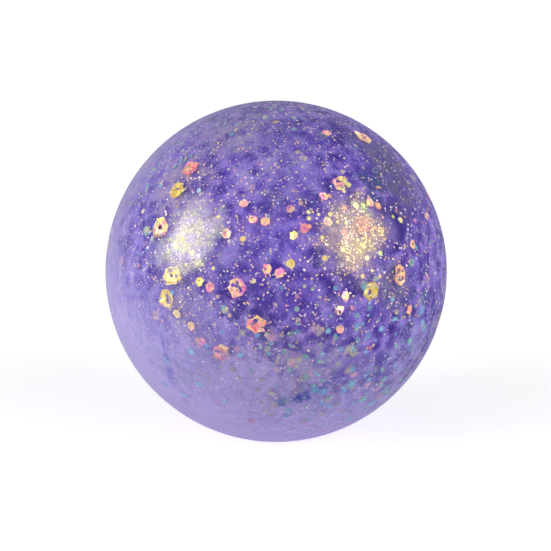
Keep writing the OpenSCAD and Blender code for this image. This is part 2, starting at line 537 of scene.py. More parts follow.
@dataclass(frozen=True)
class PearlCloud(Finish):
    """A veil of milky pearl pigment in the gel, torn into clouds that close and pale towards the lower left,
    partly as sunk pigment and partly as painted light, and open and darken at the upper right as painted
    shade.
    """

    name: str
    centre: float
    radius: float
    pale: Colour = (0.35, 0.255, 0.735)
    deep: Colour = (0.178, 0.097, 0.63)
    # Milk that the veil pales to towards the lower left, partly sunk pigment and partly painted light.
    milk: Colour = (0.62, 0.545, 0.90)
    seed: Colour = ORIGIN
    stains: tuple[Stain, ...] = ()
    fray: float = 4.0 * MM
    edge: float = 2.5 * MM
    blur: float = 0.6
    rough: float = 0.6
    broad: Pattern = Pattern(65.0, 2.0, 0.3)
    fuzz: Pattern = Pattern(520.0, 5.0, 0.4)
    grain: Pattern = Pattern(2300.0, 2.0)
    cell_scale: float = 400.0
    cell_blur: float = 0.35
    blot_shares: tuple[float, float] = (0.55, 0.54)
    body_shares: tuple[float, float, float] = (0.46, 0.54, 0.2)
    tear: Ramp = (0.46, 0.69, 0.97, 0.03)
    closing: Ramp = (0.0, 0.75, 1.0, 0.15)
    mottle_grain: float = 0.7
    mottle: Ramp = (0.36, 0.74)
    milk_shares: tuple[float, float, float] = (1.0, 0.5, 0.6)
    milk_loss: float = 0.3
    milkiness: Ramp = (0.02, 0.7, 0.0, 0.9)
    staining: Ramp = (0.3, 0.62, 0.4, 1.0)

    def surface(self, graph: Graph) -> Wire:
        """Diffuse pigment whose cover follows round blotches, and that closes and pales towards the lower
        left, partly as sunk pigment and partly as painted light.

        Args:
            graph: The material's empty graph.

        Returns:
            The shader's output.
        """
        where = graph.place(self.seed)
        broad = graph.noise(self.broad, where)
        fuzz = graph.noise(self.fuzz, where)
        grain = graph.noise(self.grain, where) - HALF
        sockets = {"Vector": where, "Scale": self.cell_scale, "Smoothness": self.cell_blur}
        cells = graph.add("ShaderNodeTexVoronoi", {"feature": "SMOOTH_F1"}, sockets, "Distance")
        blots = weighed((cells, fuzz), self.blot_shares)
        # Towards the lower left the veil closes and pales, partly as sunk pigment and partly as painted
        # light; towards the upper right it opens and darkens as painted shade.
        settled_and_painted_light = painted_light_and_sediment(graph, self.centre)
        body = weighed((broad, blots, grain), self.body_shares)
        cover = 1.0 - body.eased(*self.tear) * settled_and_painted_light.eased(*self.closing)
        mottled = graph.mix((blots + grain * self.mottle_grain).eased(*self.mottle), self.deep, self.pale)
        milky = weighed((settled_and_painted_light, grain, blots), self.milk_shares) - self.milk_loss
        colour = graph.mix(milky.eased(*self.milkiness), mottled, self.milk)
        wander = (fuzz - HALF) * (2 * self.fray)
        stained = (blots + grain).eased(*self.staining)
        for stain in self.stains:
            edge = max(self.edge, self.blur * stain.reach)
            share = stain.mask(graph, self.centre, self.radius, wander, edge) * stained
            colour = graph.mix(share, colour, stain.tint)
            cover = cover + share - cover * share
        pigment = graph.principled(colour, {"Roughness": self.rough, "Specular IOR Level": 0.0})
        return graph.open_to_lamps(graph.blend(cover, graph.clear(), pigment))


@dataclass(frozen=True)
class GlitterMilk(Finish):
    """The outermost gel: fine glitter in clusters that flash near the lamps, under milk that thickens towards
    the lower left, partly as sunk pigment and partly as painted light, and pales towards the foot as painted
    light.
    """

    name: str = "glitter_milk"
    centre: float = 0.0
    radius: float = 0.0
    milk: Colour = (0.585, 0.51, 0.865)
    # Paler milk towards the foot, as painted light from below.
    foot: Colour = (0.755, 0.63, 1.0)
    sage: Colour = (0.45, 0.445, 0.69)
    gold: Colour = (0.95, 0.66, 0.34)
    pearl: Colour = (0.98, 0.92, 0.54)
    lime: Colour = (0.66, 0.76, 0.36)
    wisp: Colour = (0.15, 0.11, 0.48)
    cool_haze: Colour = (0.315, 0.285, 0.345)
    cream_haze: Colour = (0.345, 0.345, 0.25)
    warm_haze: Colour = (0.28, 0.215, 0.165)
    flash: float = 2.6
    rough: float = 0.5
    stray: Pattern = Pattern(300.0, 4.0, 0.3)
    speckles: Pattern = Pattern(1500.0, shift=(0.1, 0.9, 0.4))
    # Grains of film in clusters
    grain_scale: float = 2100.0
    grain_edge: Ramp = (0.25, 0.46, 1.0, 0.0)
    grain_pick: Ramp = (0.25, 0.3)
    grain_least: float = 0.6
    grain_more: float = 0.35
    lean: float = 0.35
    loose: float = 0.04
    fray: float = 9.0 * MM
    edge: float = 5.5 * MM
    spread: float = 0.8 * MM
    warm_side: Ramp = (-8.0 * MM, 12.0 * MM)
    pearl_lift: float = 0.3
    pearl_loss: float = 0.6
    pearl_pick: Ramp = (0.35, 0.75)
    lime_pick: Ramp = (0.7, 0.75)
    # Fog of finer grains
    cream: Pattern = Pattern(420.0, shift=(0.6, 0.2, 0.5))
    cream_pick: Ramp = (0.42, 0.58)
    fog_mottle: Ramp = (0.36, 0.6, 0.66, 1.0)
    fog_loss: float = 0.1
    fog_fray: float = 0.9
    # Milk, paler towards the foot as painted light
    foot_depth: Ramp = (12.0 * MM, 30.0 * MM)
    sage_pick: Ramp = (0.44, 0.6, 0.0, 0.85)
    sage_loss: float = 0.6
    broad: Pattern = Pattern(60.0, 3.0, 0.3)
    broad_share: float = 0.5
    fuzz: Pattern = Pattern(800.0, 5.0)
    milkiness: Ramp = (0.35, 1.25, 0.0, 0.7)
    # Dark threads in the milk
    threads: Pattern = Pattern(85.0, 2.0, 0.8, (0.7, 0.3, 0.2))
    thread_width: Ramp = (0.0, 0.0003, 1.0, 0.0)
    thread_places: Pattern = Pattern(55.0, 2.0, shift=(0.9, 0.6, 0.1))
    thread_share: Ramp = (0.48, 0.6, 0.0, 0.6)
    thread_depth: Ramp = (0.0, 0.4)
    # Stains in the milk, glints in the grains, and where the grains lie
    stain_edge: float = 1.0 * MM
    stain_fray: float = 4.0 * MM
    staining: Ramp = (0.35, 0.6, 0.35, 1.0)
    stains: tuple[Stain, ...] = ()
    glints: tuple[Stain, ...] = (
        Stain(34.5, 28.0, 3.0 * MM, 0.75, (0.36, 0.18, 0.10)),
        Stain(41.5, 34.0, 2.6 * MM, 0.8, (0.22, 0.28, 0.08)),
        Stain(34.0, 21.5, 2.8 * MM, 0.6, (0.34, 0.27, 0.09)),
        Stain(25.5, 14.0, 2.8 * MM, 0.5, (0.32, 0.24, 0.14)),
    )
    clusters: tuple[Patch, ...] = (
        Patch(-38.0, 18.0, 6.0 * MM, 0.8),
        Patch(-32.0, 27.0, 7.0 * MM, 0.85),
        Patch(33.0, 27.0, 8.0 * MM, 0.85),
        Patch(29.0, 15.5, 5.0 * MM, 0.5),
        Patch(22.0, 23.0, 5.0 * MM, 0.5),
        Patch(45.0, 6.0, 6.0 * MM, 0.12),
        Patch(118.0, 35.0, 9.0 * MM, 0.4),
        Patch(172.0, -8.0, 9.0 * MM, 0.35),
        Patch(-128.0, 18.0, 9.0 * MM, 0.4),
        Patch(-160.0, 55.0, 8.0 * MM, 0.35),
    )

    def surface(self, graph: Graph) -> Wire:
        """Glitter with diffuse milk over it.

        Args:
            graph: The material's empty graph.

        Returns:
            The shader's output.
        """
        stray = graph.noise(self.stray) - HALF
        speckle = graph.noise(self.speckles)
        glitter = self._glitter(graph, stray, speckle)
        cover, cloud = self._milk(graph, stray, speckle)
        return graph.open_to_lamps(graph.blend(cover, glitter, cloud))

    def _glitter(self, graph: Graph, stray: Wire, speckle: Wire) -> Wire:
        """Grains of film with a lean of their own, in a fog of finer ones.

        Args:
            graph: The material's graph.
            stray: A noise about nought, which edges follow.
            speckle: A fine noise, which mottles the fog.

        Returns:
            The shader, which is clear between the clusters.
        """
        where = graph.place()
        cell = graph.add("ShaderNodeTexVoronoi", {}, {"Vector": where, "Scale": self.grain_scale}, "Distance")
        chance = graph.also(cell, "Color")
        pick, tint, odd = graph.axes(chance)
        warm = graph.axes(where)[0].eased(*self.warm_side)
        pale = (tint + self.pearl_lift - warm * self.pearl_loss).eased(*self.pearl_pick)
        colour = graph.mix(odd.eased(*self.lime_pick), graph.mix(pale, self.gold, self.pearl), self.lime)
        creamy = graph.noise(self.cream).eased(*self.cream_pick)
        haze = graph.mix(warm, graph.mix(creamy, self.cool_haze, self.cream_haze), self.warm_haze)
        for glint in self.glints:
            share = glint.mask(graph, self.centre, self.radius, stray * self.stain_fray, 2 * self.stain_edge)
            haze = graph.mix(share, haze, glint.tint)
            bright = tuple(min(self.flash * part, 1.0) for part in glint.tint)
            colour = graph.mix(share, colour, bright)
        metal = {"Metallic": 1.0, "Roughness": self.rough}
        film = graph.principled(colour, {**metal, "Normal": self._leaning(graph, chance)})
        mist = graph.principled(haze, metal)
        clustered = self._share(graph, stray * (2 * self.fray))
        grains = cell.eased(*self.grain_edge) * pick.eased(*self.grain_pick) * clustered
        grains = grains * (self.grain_least + warm * self.grain_more)
        mottled = speckle.eased(*self.fog_mottle) * (1.0 - warm * self.fog_loss)
        fog = self._share(graph, stray * (self.fog_fray * self.fray) - self.spread) * mottled
        return graph.blend(grains, graph.blend(fog, graph.clear(), mist), film)

    def _milk(self, graph: Graph, stray: Wire, speckle: Wire) -> tuple[Wire, Wire]:
        """Milk with sage specks, stains and dark threads in it, thicker towards the lower left as sunk
        pigment and painted light, and paler towards the foot as painted light.

        Args:
            graph: The material's graph.
            stray: A noise about nought, which edges follow.
            speckle: A fine noise, which mottles the milk.

        Returns:
            How much the milk covers, and its shader.
        """
        # The milk thickens towards the lower left, partly as sunk pigment and partly as painted light, and
        # thins at the upper right as painted shade.
        settled_and_painted_light = painted_light_and_sediment(graph, self.centre)
        # Near the foot the milk is paler, as painted light from below.
        low = (self.centre - graph.axes(graph.place())[2]).eased(*self.foot_depth)
        sage = speckle.eased(*self.sage_pick) * (1.0 - low * self.sage_loss)
        colour = graph.mix(sage, graph.mix(low, self.milk, self.foot), self.sage)
        body = graph.noise(self.broad) * self.broad_share + graph.noise(self.fuzz) - HALF + settled_and_painted_light
        cover = body.eased(*self.milkiness)
        stained = speckle.eased(*self.staining)
        for stain in self.stains:
            whole = stain.mask(graph, self.centre, self.radius, stray * self.stain_fray, self.stain_edge)
            share = whole * stained
            colour = graph.mix(share, colour, stain.tint)
            cover = cover + (share - cover * share) * stain.closing
        wisps = self._wisps(graph) * settled_and_painted_light.eased(*self.thread_depth)
        cloud = graph.principled(graph.mix(wisps, colour, self.wisp), {"Specular IOR Level": 0.0})
        return cover + wisps - cover * wisps, cloud

    def _wisps(self, graph: Graph) -> Wire:
        """Thin dark threads of gel that wind through the milk here and there.

        Args:
            graph: The material's graph.

        Returns:
            How much of the milk they take up.
        """
        thread = graph.noise(self.threads) - HALF
        here = graph.noise(self.thread_places).eased(*self.thread_share)
        return (thread * thread).eased(*self.thread_width) * here

    def _leaning(self, graph: Graph, chance: Wire) -> Wire:
        """Leans each grain another way.

        Args:
            graph: The material's graph.
            chance: A random colour for each grain.

        Returns:
            The normal.
        """
        centred = graph.vector("SUBTRACT", chance, (HALF, HALF, HALF))
        plain = graph.add("ShaderNodeNewGeometry", output="Normal")
        moved = graph.vector("ADD", plain, graph.scaled(centred, self.lean))
        return graph.vector("NORMALIZE", moved)

    def _share(self, graph: Graph, wander: Wire) -> Wire:
        """Adds the clusters up.

        Args:
            graph: The material's graph.
            wander: How far their edges stray at each point.

        Returns:
            How much of the gel they cover, with the little glitter that is loose.
        """
        total: Number = self.loose
        for cluster in self.clusters:
            total = cluster.mask(graph, self.centre, self.radius, wander, self.edge) + total
        return total


@dataclass(frozen=True)
class GelDepths(Finish):
    """The dark middle of the gel, as it shows between the clouds."""

    name: str = "gel_depths"
    dark: Colour = (0.058, 0.021, 0.34)
    mid: Colour = (0.118, 0.056, 0.47)
    navy: Colour = (0.03, 0.075, 0.25)
    blotches: Pattern = Pattern(120.0, 4.0, 1.0)
    blotch_edge: Ramp = (0.4, 0.65)
    breath: Pattern = Pattern(75.0, 3.0, 0.5, (0.2, 0.5, 0.1))
    breath_share: Ramp = (0.52, 0.66, 0.0, 0.6)
    rough: float = 0.7

    def surface(self, graph: Graph) -> Wire:
        """Indigo pigment in soft blotches, with a breath of navy.

        Args:
            graph: The material's empty graph.

        Returns:
            The shader's output.
        """
        indigo = graph.mix(graph.noise(self.blotches).eased(*self.blotch_edge), self.dark, self.mid)
        share = graph.noise(self.breath).eased(*self.breath_share)
        colour = graph.mix(share, indigo, self.navy)
        return graph.principled(colour, {"Roughness": self.rough, "Specular IOR Level": 0.0})


@dataclass(frozen=True)
class Film(Finish):
    """Iridescent film that turns through three tints, torn and clear in the middle of a large flake."""

    name: str
    main: Colour
    turned: Colour
    flash: Colour
    hold: float = 1.0
    metal: float = 0.85
    rough: float = 0.46
    drift: Pattern = Pattern(900.0, 2.0)
    torn: Pattern = Pattern(800.0, shift=(0.4, 0.1, 0.7))
    ragged: Pattern = Pattern(1100.0, 2.0, shift=(0.2, 0.8, 0.3))
    turn_shares: tuple[float, float] = (0.5, 1.5)
    turn_loss: float = 0.25
    first_turn: Ramp = (0.5, 0.75)
    second_turn: Ramp = (0.8, 1.0)
    tear_shares: tuple[float, float] = (0.5, 1.5)
    tear: Ramp = (0.78, 0.96)
    edge_shares: tuple[float, float] = (1.4, 1.0)
    edge: Ramp = (0.38, 0.52)
    faint_tone: float = 0.3
    faintest: float = 0.6

    def surface(self, graph: Graph) -> Wire:
        """Bright film whose tint drifts, torn in the middle of a flake and ragged at its edge.

        Args:
            graph: The material's empty graph.

        Returns:
            The shader's output.
        """
        tone, reach = graph.marked(TONE), graph.marked(REACH)
        turn = weighed((tone, graph.noise(self.drift)), self.turn_shares) - self.turn_loss
        early = graph.mix(turn.eased(*self.first_turn), self.main, self.turned)
        colour = graph.mix(turn.eased(*self.second_turn), early, self.flash)
        bright = graph.principled(colour, {"Metallic": self.metal, "Roughness": self.rough})
        middle = weighed((reach, graph.noise(self.torn)), self.tear_shares).eased(*self.tear)
        edge = weighed((1.0 - reach, graph.noise(self.ragged)), self.edge_shares).eased(*self.edge)
        whole = tone.eased(0.0, self.faint_tone, self.faintest * self.hold, self.hold)
        return graph.blend(middle * edge * whole, graph.clear(), bright)


@dataclass(frozen=True)
class PlugRubber(Finish):
    """Milky lavender rubber of the plug and the seal disc."""

    name: str = "plug_rubber"
    pale: Colour = (0.46, 0.38, 0.72)
    deep: Colour = (0.33, 0.26, 0.60)
    mottle: Pattern = Pattern(260.0)
    mottle_edge: Ramp = (0.35, 0.65)
    mottle_rough: Ramp = (0.3, 0.7, 0.38, 0.55)
    grain: Pattern = Pattern(2200.0, 2.0)
    grain_depth: float = 0.1 * MM
    grain_strength: float = 0.5

    def surface(self, graph: Graph) -> Wire:
        """Satin rubber with a faint mottle and a fine grain.

        Args:
            graph: The material's empty graph.

        Returns:
            The shader's output.
        """
        mottle = graph.noise(self.mottle)
        colour = graph.mix(mottle.eased(*self.mottle_edge), self.deep, self.pale)
        normal = graph.bump(graph.noise(self.grain), self.grain_depth, self.grain_strength)
        return graph.principled(colour, {"Roughness": mottle.eased(*self.mottle_rough), "Normal": normal})


@dataclass(frozen=True)
class PaleFloor(Finish):
    """The studio's white table."""

    name: str = "pale_floor"
    white: Colour = (0.9, 0.9, 0.9)
    near: float = 60.0 * MM
    far: float = 350.0 * MM
    near_lift: Colour = (0.47, 0.47, 0.47)
    far_lift: Colour = (0.67, 0.67, 0.67)

    def surface(self, graph: Graph) -> Wire:
        """White board that is lifted to white where it is looked at, and less by the ball, for its shadow.

        Args:
            graph: The material's empty graph.

        Returns:
            The shader's output.
        """
        board = graph.add("ShaderNodeBsdfDiffuse", {}, {"Color": self.white})
        away = graph.vector("LENGTH", graph.place())
        lift = graph.mix(away.eased(self.near, self.far), self.near_lift, self.far_lift)
        glow = graph.add("ShaderNodeEmission", {}, {"Color": lift, "Strength": 1.0})
        lit = graph.add("ShaderNodeAddShader", {}, {0: board, 1: glow})
        return graph.blend(graph.looked_at(), board, lit)


@dataclass(frozen=True)
class DustFilm(Finish):
    """The same film cut to dust, paler and all over bright."""

    name: str
    main: Colour
    turned: Colour
    metal: float = 0.4
    soft: float = 0.0
    rough: float = 0.25
    dull_tone: float = 0.3
    least_metal: float = 0.1
    cover: float = 0.8

    def surface(self, graph: Graph) -> Wire:
        """Pale bright film whose tint changes from grain to grain, and that blurs where milk is over it.

        Args:
            graph: The material's empty graph.

        Returns:
            The shader's output.
        """
        tone = graph.marked(TONE)
        metal = tone.eased(self.dull_tone, 1.0, self.least_metal, self.metal)
        colour = graph.mix(tone, self.main, self.turned)
        film = graph.principled(colour, {"Metallic": metal, "Roughness": self.rough})
        if not self.soft:
            return film
        cover = graph.marked(REACH).eased(1.0 - self.soft, 1.0, self.cover, 0.0)
        return graph.open_to_lamps(graph.blend(cover, graph.clear(), film))


FILMS: dict[Tint, Film] = {
    Tint.GOLD: Film("gold_film", (1.0, 0.80, 0.13), (1.0, 0.92, 0.36), (1.0, 0.46, 0.46)),
    Tint.CORAL: Film("coral_film", (1.0, 0.34, 0.40), (1.0, 0.72, 0.28), (0.96, 0.32, 0.60)),
    Tint.TEAL: Film("teal_film", (0.12, 0.40, 0.46), (0.16, 0.30, 0.58), (0.25, 0.52, 0.45), 0.5),
    Tint.GREEN: Film("green_film", (0.30, 0.56, 0.42), (0.62, 0.66, 0.32), (0.20, 0.50, 0.48), 0.55),
    Tint.PEARL: Film("pearl_film", (0.90, 0.82, 0.92), (0.95, 0.90, 0.80), (0.85, 0.70, 0.90)),
}
DUSTS: dict[tuple[Look, Tint], DustFilm] = {
    (Look.BARE, Tint.GOLD): DustFilm("gold_dust", (0.90, 0.54, 0.17), (0.96, 0.87, 0.50)),
    (Look.BARE, Tint.CORAL): DustFilm("coral_dust", (1.0, 0.40, 0.40), (1.0, 0.72, 0.74)),
    (Look.BARE, Tint.TEAL): DustFilm("teal_dust", (0.10, 0.28, 0.48), (0.24, 0.46, 0.54), 0.2),
    (Look.BARE, Tint.GREEN): DustFilm("green_dust", (0.24, 0.42, 0.40), (0.44, 0.50, 0.42), 0.2),
    (Look.BARE, Tint.PEARL): DustFilm("pearl_dust", (0.64, 0.56, 0.78), (0.88, 0.82, 0.77), 0.3),
    (Look.SUNKEN, Tint.GOLD): DustFilm("sunken_gold", (0.40, 0.32, 0.38), (0.50, 0.48, 0.40), 0.1, 0.9),
    (Look.SUNKEN, Tint.CORAL): DustFilm("sunken_coral", (0.55, 0.28, 0.46), (0.60, 0.42, 0.55), 0.1, 0.9),
    (Look.SUNKEN, Tint.TEAL): DustFilm("sunken_teal", (0.16, 0.36, 0.64), (0.30, 0.66, 0.76), 0.1, 0.9),
    (Look.SUNKEN, Tint.GREEN): DustFilm("sunken_green", (0.20, 0.38, 0.42), (0.20, 0.64, 0.46), 0.1, 0.9),
    (Look.GLOWING, Tint.GOLD): DustFilm("glowing_gold", (0.96, 0.72, 0.16), (0.98, 0.90, 0.42), 0.3, 0.6),
    (Look.GLOWING, Tint.CORAL): DustFilm("glowing_coral", (0.98, 0.42, 0.22), (0.98, 0.58, 0.42), 0.3, 0.6),
    (Look.GLOWING, Tint.GREEN): DustFilm("glowing_green", (0.52, 0.70, 0.18), (0.74, 0.82, 0.26), 0.3, 0.6),
}


def link(name: str, mesh: bpy.types.Mesh) -> bpy.types.Object:
    """Puts a mesh in the scene at the origin, and keeps each point's place at rest.

    Args:
        name: The object's name.
        mesh: Its mesh.

    Returns:
        The object.
    """
    rest = mesh.attributes.new(REST, "FLOAT_VECTOR", "POINT")
    rest.data.foreach_set("vector", [value for vert in mesh.vertices for value in vert.co])
    made = bpy.data.objects.new(name, mesh)
    bpy.context.scene.collection.objects.link(made)
    return made


def mesh_of(work: bmesh.types.BMesh, name: str) -> bpy.types.Mesh:
    """Ends the work on a mesh.

    Args:
        work: The mesh at work, which is freed.
        name: The new mesh's name.

    Returns:
        A plain mesh.
    """
    mesh = bpy.data.meshes.new(name)
    work.to_mesh(mesh)
    work.free()
    return mesh


def smooth(mesh: bpy.types.Mesh) -> None:
    """Shades every face of a mesh smooth."""
    mesh.polygons.foreach_set("use_smooth", [True] * len(mesh.polygons))


@dataclass
class Lathe:
    """Turns an outline into a closed solid about Z."""

    steps: int = 192

    def turn(self, name: str, outline: Sequence[tuple[float, float]], slots: Sequence[int]) -> bpy.types.Mesh:
        """Makes the mesh.

        Args:
            name: The mesh's name.
            outline: Radius and height of each point of a closed outline, in metres.
            slots: The material slot of the faces from each point to the next.

        Returns:
            The mesh, with its faces outwards.
        """
        work = bmesh.new()
        rings = [self._ring(work, radius, height) for radius, height in outline]
        for i, (near, slot) in enumerate(zip(rings, slots)):
            far = rings[(i + 1) % len(rings)]
            self._band(work, near, far, slot)
        bmesh.ops.recalc_face_normals(work, faces=work.faces)
        mesh = mesh_of(work, name)
        smooth(mesh)
        return mesh

    def _ring(self, work: bmesh.types.BMesh, radius: float, height: float) -> list[bmesh.types.BMVert]:
        """Makes one ring of points, or a single one on the axis.

        Args:
            work: The mesh at work.
            radius: Radius of the ring.
            height: Height of the ring.

        Returns:
            The points in order.
        """
        if radius < ON_AXIS:
            return [work.verts.new((0.0, 0.0, height))]
        angles = [2 * math.pi * k / self.steps for k in range(self.steps)]
        return [work.verts.new((radius * math.cos(a), radius * math.sin(a), height)) for a in angles]

    def _band(
        self,
        work: bmesh.types.BMesh,
        near: list[bmesh.types.BMVert],
        far: list[bmesh.types.BMVert],
        slot: int,
    ) -> None:
        """Makes the faces between two rings.

        Args:
            work: The mesh at work.
            near: The points of one ring.
            far: The points of the next one.
            slot: The material slot of the faces.
        """
        if len(near) == 1 and len(far) == 1:
            return
        for k in range(self.steps):
            after = (k + 1) % self.steps
            corners = [near[k % len(near)], near[after % len(near)], far[after % len(far)], far[k % len(far)]]
            face = work.faces.new(list(dict.fromkeys(corners)))
            face.material_index = slot


def arc(radius: float, centre: float, start: float, end: float, steps: int) -> list[tuple[float, float]]:
    """Points of an arc about a point on the axis.

    Args:
        radius: Radius of the arc.
        centre: Height of its centre.
        start: Latitude of its first point, in radians.
        end: Latitude of its last point, in radians.
        steps: Number of stretches.

    Returns:
        Radius and height of each point.
    """
    angles = [start + (end - start) * k / steps for k in range(steps + 1)]
    return [(max(radius * math.cos(a), 0.0), centre + radius * math.sin(a)) for a in angles]


@dataclass
class Ball:
    """Sizes that every piece of the ball shares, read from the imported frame."""

    height: float = field(init=False)
    radius: float = field(init=False)
    centre: float = field(init=False)
    travel: float = field(init=False)

    def __post_init__(self) -> None:
        """Reads the skin's box and the squeeze's travel."""
        low, high = CAD_BOX
        self.height = high.z - low.z
        self.radius = (high.x - low.x) / 2
        self.centre = high.z - self.radius
        squeeze = next(j for j in frame["joints"] if j["name"] == "squeeze")
        self.travel = max(squeeze["range_m"])

    def soften(self, piece: bpy.types.Object) -> None:
        """Gives a piece a mesh of its own; the share of the height that a full squeeze keeps is worked out
        but not used.
        """
        keep = 1.0 - self.travel / self.height
        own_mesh(piece)


@dataclass
class Skin:
    """The clear skin, from its seamless outside to the port at the foot."""

    ball: Ball
    wall: float = 1.8 * MM
    collar_radius: float = 8.0 * MM
    collar_height: float = 5.0 * MM
    port_radius: float = 4.05 * MM
    recess_radius: float = 5.55 * MM
    recess_height: float = 1.2 * MM
    stretches: int = 120

    def build(self) -> bpy.types.Object:
        """Turns the skin and dresses it.

        Returns:
            The skin, riding on the base.
        """
        ball = self.ball
        foot = -math.acos(math.sqrt(max(ball.radius**2 - ball.centre**2, 0.0)) / ball.radius)
        top = math.pi / 2
        inner = ball.radius - self.wall
        collar = -math.acos(self.collar_radius / inner)
        outside = arc(ball.radius, ball.centre, foot, top, self.stretches)
        inside = arc(inner, ball.centre, top, collar, self.stretches)
        port = [
            (self.collar_radius, self.collar_height),
            (self.port_radius, self.collar_height),
            (self.port_radius, self.recess_height),
            (self.recess_radius, self.recess_height),
            (self.recess_radius, 0.0),
        ]
        outline = outside + inside + port
        slots = [0] * (len(outside) - 1) + [1] * (len(inside) + len(port) - 1) + [0, 0]
        mesh = Lathe().turn("skin", outline, slots)
        made = link("skin", mesh)
        mesh.materials.append(ClearSkin(centre=ball.centre).material())
        mesh.materials.append(MatchedWall().material())
        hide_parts("upper_skin", "lower_skin")
        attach(made, Body.BASE.value)
        ball.soften(made)
        return made


@dataclass
class FillingPort:
    """The plug and the seal disc that close the ball."""

    ball: Ball
    nodes: tuple[str, ...] = ("fill_plug", "seal_disc")

    def build(self) -> list[bpy.types.Object]:
        """Dresses merged copies of the plug and the disc.

        Returns:
            The two pieces, riding on the base.
        """
        made = []
        for node in self.nodes:
            piece = link(f"{node}_soft", merged_copy(node))
            piece.data.materials.append(PlugRubber().material())
            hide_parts(node)
            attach(piece, Body.BASE.value)
            self.ball.soften(piece)
            made.append(piece)
        return made


def merged_copy(node: str) -> bpy.types.Mesh:
    """A copy of a CAD node's mesh with its loose triangles joined.

    Args:
        node: The node's name.

    Returns:
        The new mesh, with no materials.
    """
    work = bmesh.new()
    work.from_mesh(frame["nodes"][node].data)
    bmesh.ops.remove_doubles(work, verts=work.verts, dist=WELD)
    bmesh.ops.dissolve_limit(work, angle_limit=FLAT, verts=work.verts, edges=work.edges)
    mesh = mesh_of(work, node)
    mesh.materials.clear()
    return mesh


def mark_flakes(mesh: bpy.types.Mesh, crinkle: float, solid: float) -> None:
    """Gives each loose flake of a mesh a tone of its own, and each point its reach from the flake's middle.

    Args:
        mesh: Flakes that don't touch, each a hexagon with or without a rim.
        crinkle: How far the film is crinkled out of its plane, or nought for flat film.
        solid: The reach at a flake's middle, which is one for film that isn't torn there.
    """
    work = bmesh.new()
    work.from_mesh(mesh)
    hexagons = [face for face in work.faces if len(face.verts) == HEXAGON]
    bmesh.ops.poke(work, faces=hexagons)
    if crinkle:
        noise.seed_set(CRINKLE_SEED)
        bmesh.ops.subdivide_edges(work, edges=work.edges, cuts=1, use_grid_fill=True)
        for vert in work.verts:
            vert.co += noise.noise_vector(vert.co * CRINKLES) * crinkle
    tone = work.verts.layers.float.new(TONE)
    reach = work.verts.layers.float.new(REACH)
    for count, flake in enumerate(loose_parts(work)):
        middle = sum((v.co for v in flake), Vector()) / len(flake)
        furthest = max((v.co - middle).length for v in flake)
        for vert in flake:
            vert[tone] = (count * GOLDEN_SHARE) % 1.0
            vert[reach] = solid + (1.0 - solid) * (vert.co - middle).length / furthest
    work.to_mesh(mesh)
    work.free()


def loose_parts(work: bmesh.types.BMesh) -> list[list[bmesh.types.BMVert]]:
    """Finds the loose parts of a mesh.

    Args:
        work: The mesh at work.

    Returns:
        The points of each part.
    """
    waiting = set(work.verts)
    parts = []
    for start in work.verts:
        if start not in waiting:
            continue
        waiting.discard(start)
        part, reached = [], [start]
        while reached:
            here = reached.pop()
            part.append(here)
            near = [edge.other_vert(here) for edge in here.link_edges]
            fresh = [vert for vert in near if vert in waiting]
            waiting.difference_update(fresh)
            reached.extend(fresh)
        parts.append(part)
    return parts


